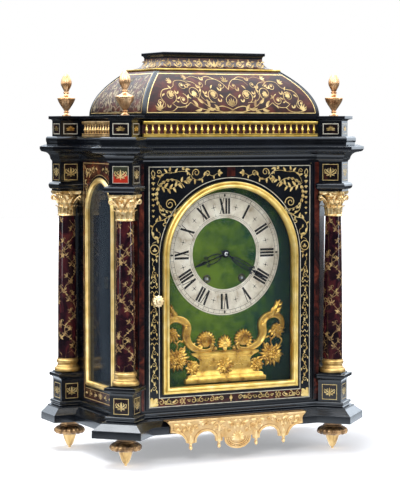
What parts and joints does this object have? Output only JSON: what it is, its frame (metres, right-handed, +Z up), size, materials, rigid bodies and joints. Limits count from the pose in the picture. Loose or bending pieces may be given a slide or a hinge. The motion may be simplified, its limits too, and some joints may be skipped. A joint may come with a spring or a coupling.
{
  "type": "religieuse table clock",
  "caption": "Temple-form table clock in ebonised wood with columns, glazed front door, square dome and balustraded attic.",
  "frame": {"origin": "on the table surface under the middle of the clock's bounding box", "axes": "+Z up, front of the clock towards -Y, +X to the right of someone facing the dial"},
  "size_m": [0.4664, 0.269, 0.62],
  "materials": {
    "ebony": "polished ebonised wood",
    "marquetry": "dark red shell veneer with brass inlay, polished",
    "lacquer": "burgundy lacquer, polished",
    "gilt": "gilt bronze, satin",
    "brass": "plain brass",
    "velvet": "green velvet",
    "silvered": "silvered brass, satin",
    "blued": "blued steel",
    "steel": "plain steel",
    "glass": "clear"
  },
  "bodies": {
    "case": {"base_plinth": "ebony", "pedestal_front_left": "marquetry", "pedestal_front_right": "marquetry", "pedestal_rear_left": "marquetry", "pedestal_rear_right": "marquetry", "frieze_block_front_left": "marquetry", "frieze_block_front_right": "marquetry", "frieze_block_rear_left": "marquetry", "frieze_block_rear_right": "marquetry", "cornice": "ebony", "attic": "ebony", "dome": "marquetry", "column_base_front_left": "gilt", "column_base_front_right": "gilt", "column_base_rear_left": "gilt", "column_base_rear_right": "gilt", "column_shaft_front_left": "lacquer", "column_shaft_front_right": "lacquer", "column_shaft_rear_left": "lacquer", "column_shaft_rear_right": "lacquer", "column_capital_front_left": "gilt", "column_capital_front_right": "gilt", "column_capital_rear_left": "gilt", "column_capital_rear_right": "gilt", "foot_front_left": "gilt", "foot_front_right": "gilt", "foot_rear_left": "gilt", "foot_rear_right": "gilt", "finial_front_left": "gilt", "finial_front_right": "gilt", "finial_rear_left": "gilt", "finial_rear_right": "gilt", "gallery_front": "gilt", "gallery_left": "gilt", "gallery_right": "gilt", "case_body": "ebony", "front_hinge_pin_bottom": "brass", "front_hinge_pin_top": "brass", "window_frame_left": "gilt", "window_frame_right": "gilt", "window_glass_left": "glass", "window_glass_right": "glass", "dial_plate": "velvet", "chapter_ring": "silvered", "dial_mount": "gilt", "apron_mount": "gilt", "movement_frame": "brass", "bell": "brass"},
    "front_door": {"front_door": "marquetry", "door_bezel": "gilt", "door_glass": "glass"},
    "door_knob": {"door_knob": "gilt"},
    "back_door": {"back_door": "ebony"},
    "back_door_knob": {"back_door_knob": "brass"},
    "hour_hand": {"hour_hand": "blued"},
    "minute_hand": {"minute_hand": "blued"},
    "winding_arbor_left": {"winding_arbor_left": "steel"},
    "winding_arbor_right": {"winding_arbor_right": "steel"},
    "pendulum": {"pendulum": "brass"},
    "bell_hammer": {"bell_hammer": "steel"}
  },
  "joints": [
    {"name": "front_door_hinge", "type": "hinge", "parent": "case", "child": "front_door", "pos_m": [0.1404, -0.07375, 0.265], "axis": [0, 0, 1], "range_deg": [0, 95]},
    {"name": "door_knob_turn", "type": "hinge", "parent": "front_door", "child": "door_knob", "pos_m": [-0.126, -0.07, 0.245], "axis": [0, 1, 0], "range_deg": [0, 90]},
    {"name": "back_door_hinge", "type": "hinge", "parent": "case", "child": "back_door", "pos_m": [0.131, 0.1239, 0.2645], "axis": [0, 0, -1], "range_deg": [0, 85]},
    {"name": "back_door_knob_turn", "type": "hinge", "parent": "back_door", "child": "back_door_knob", "pos_m": [-0.1246, 0.122, 0.2645], "axis": [0, 1, 0], "range_deg": [0, 90]},
    {"name": "minute_hand_turn", "type": "hinge", "parent": "case", "child": "minute_hand", "pos_m": [0, -0.058, 0.311], "axis": [0, 1, 0], "continuous": true},
    {"name": "hour_hand_turn", "type": "hinge", "parent": "case", "child": "hour_hand", "pos_m": [0, -0.056, 0.311], "axis": [0, 1, 0], "continuous": true},
    {"name": "winding_left_turn", "type": "hinge", "parent": "case", "child": "winding_arbor_left", "pos_m": [-0.03, -0.018, 0.273], "axis": [0, 1, 0], "continuous": true},
    {"name": "winding_right_turn", "type": "hinge", "parent": "case", "child": "winding_arbor_right", "pos_m": [0.03, -0.018, 0.273], "axis": [0, 1, 0], "continuous": true},
    {"name": "pendulum_swing", "type": "hinge", "parent": "case", "child": "pendulum", "pos_m": [0, 0.01265, 0.359], "axis": [0, 1, 0], "range_deg": [-5, 5]},
    {"name": "bell_hammer_lift", "type": "hinge", "parent": "case", "child": "bell_hammer", "pos_m": [0.036, -0.018, 0.352], "axis": [0, 1, 0], "range_deg": [0, 12], "stiffness_Nm_per_rad": 0.01, "springref_deg": -6.88}
  ],
  "couplings": [
    {"joint": "hour_hand_turn", "follows": "minute_hand_turn", "ratio": 0.083333}
  ]
}
